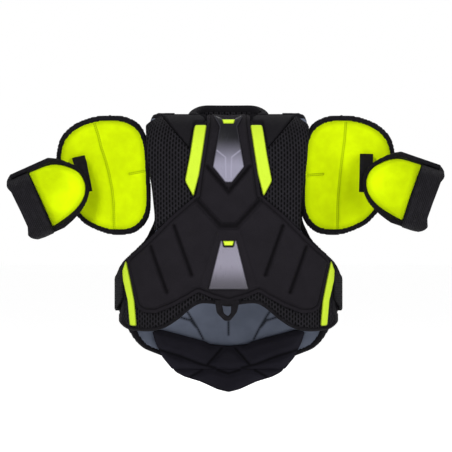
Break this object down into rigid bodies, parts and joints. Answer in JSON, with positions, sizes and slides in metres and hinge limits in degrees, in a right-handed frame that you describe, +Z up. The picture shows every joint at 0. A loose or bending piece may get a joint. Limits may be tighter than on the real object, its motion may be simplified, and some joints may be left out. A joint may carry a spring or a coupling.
{
  "type": "hockey shoulder pads",
  "caption": "Hockey shoulder pads: moulded chest shell, padded back panel, collar, shoulder caps and bicep guards with arm bands, side straps and a lumbar tail.",
  "frame": {"origin": "middle of the wearer's torso at the level of the shoulder tops, where the yokes rest", "axes": "+X to the wearer's left arm (right as seen from the front), -Y out of the chest, +Z up; names say left and right as seen from the front"},
  "size_m": [0.7925, 0.2175, 0.517],
  "materials": {
    "black_foam": "moulded foam under matte black cloth",
    "black_fabric": "matte black woven nylon",
    "mesh": "three-dimensional spacer mesh with long perforations",
    "grey_lining": "brushed grey knitted lining",
    "lime_lining": "brushed lime tricot lining over thin foam",
    "lime_strip": "lime coated cloth, matte",
    "lime_plastic": "moulded lime plastic, satin",
    "grey_plastic": "smoke grey moulded plastic, satin",
    "black_plastic": "black moulded polyethylene, satin",
    "binding": "folded black edge binding tape, stitched",
    "webbing": "black woven nylon webbing",
    "elastic": "black ribbed woven elastic"
  },
  "bodies": {
    "back": {"back_liner": "grey_lining", "back_shell": "black_fabric", "back_binding": "binding", "spine_plate_upper": "grey_plastic", "spine_plate_middle": "grey_plastic", "spine_plate_lower": "grey_plastic", "blade_plate_left": "black_plastic", "blade_plate_right": "black_plastic", "kidney_pad_left": "black_fabric", "kidney_pad_right": "black_fabric", "lumbar_pad": "black_fabric", "yoke_pad_left": "black_fabric", "yoke_pad_right": "black_fabric", "yoke_strap_left": "webbing", "yoke_strap_right": "webbing", "collar_roll": "black_fabric", "collar_lining": "mesh"},
    "chest": {"chest_liner": "mesh", "chest_binding": "binding", "chest_shell": "black_foam", "sternum_plate": "grey_plastic", "sternum_tab": "lime_plastic", "lower_plate": "grey_plastic", "lower_tab": "lime_plastic", "upper_strip_left": "lime_strip", "upper_strip_right": "lime_strip", "lower_strip_left": "lime_strip", "lower_strip_right": "lime_strip", "mesh_wing_left": "mesh", "mesh_wing_right": "mesh", "shoulder_front_left": "black_fabric", "shoulder_front_right": "black_fabric", "belly_loop": "webbing"},
    "tail": {"lumbar_tail": "black_fabric"},
    "strap_left": {"side_strap_left": "elastic"},
    "cap_left": {"cap_liner_left": "lime_lining", "cap_shell_left": "black_fabric", "cap_binding_left": "binding", "cap_plate_left": "black_plastic", "cap_anchor_left": "webbing", "link_tab_left": "webbing"},
    "bicep_left": {"bicep_liner_left": "lime_lining", "cuff_liner_left": "black_fabric", "bicep_shell_left": "black_fabric", "bicep_binding_left": "binding", "bicep_plate_left": "black_plastic"},
    "band_left": {"elastic_band_left": "elastic"},
    "strap_right": {"side_strap_right": "elastic"},
    "cap_right": {"cap_liner_right": "lime_lining", "cap_shell_right": "black_fabric", "cap_binding_right": "binding", "cap_plate_right": "black_plastic", "cap_anchor_right": "webbing", "link_tab_right": "webbing"},
    "bicep_right": {"bicep_liner_right": "lime_lining", "cuff_liner_right": "black_fabric", "bicep_shell_right": "black_fabric", "bicep_binding_right": "binding", "bicep_plate_right": "black_plastic"},
    "band_right": {"elastic_band_right": "elastic"}
  },
  "joints": [
    {"name": "chest_lift", "type": "hinge", "parent": "back", "child": "chest", "pos_m": [0, -0.02, 0.011], "axis": [-1, 0, 0], "range_deg": [0, 35]},
    {"name": "tail_flap", "type": "hinge", "parent": "back", "child": "tail", "pos_m": [0, 0.0923, -0.4497], "axis": [1, 0, 0], "range_deg": [0, 60]},
    {"name": "cap_raise_left", "type": "hinge", "parent": "back", "child": "cap_left", "pos_m": [-0.146, 0, 0], "axis": [0, 1, 0], "range_deg": [-4, 60]},
    {"name": "bicep_swing_left", "type": "hinge", "parent": "cap_left", "child": "bicep_left", "pos_m": [-0.272, 0.012, -0.112], "axis": [0, 1, 0], "range_deg": [-25, 40]},
    {"name": "band_open_left", "type": "hinge", "parent": "bicep_left", "child": "band_left", "pos_m": [-0.33056, -0.0522, -0.21094], "axis": [0.9121, 0, 0.4099], "range_deg": [0, 110]},
    {"name": "strap_open_left", "type": "hinge", "parent": "back", "child": "strap_left", "pos_m": [-0.152, 0.0835, -0.302], "axis": [0, 0, -1], "range_deg": [0, 85]},
    {"name": "cap_raise_right", "type": "hinge", "parent": "back", "child": "cap_right", "pos_m": [0.146, 0, 0], "axis": [0, -1, 0], "range_deg": [-4, 60]},
    {"name": "bicep_swing_right", "type": "hinge", "parent": "cap_right", "child": "bicep_right", "pos_m": [0.262, 0.012, -0.112], "axis": [0, -1, 0], "range_deg": [-25, 40]},
    {"name": "band_open_right", "type": "hinge", "parent": "bicep_right", "child": "band_right", "pos_m": [0.32882, -0.0522, -0.19857], "axis": [0.9455, 0, -0.3256], "range_deg": [0, 110]},
    {"name": "strap_open_right", "type": "hinge", "parent": "back", "child": "strap_right", "pos_m": [0.152, 0.0835, -0.302], "axis": [0, 0, 1], "range_deg": [0, 85]}
  ]
}
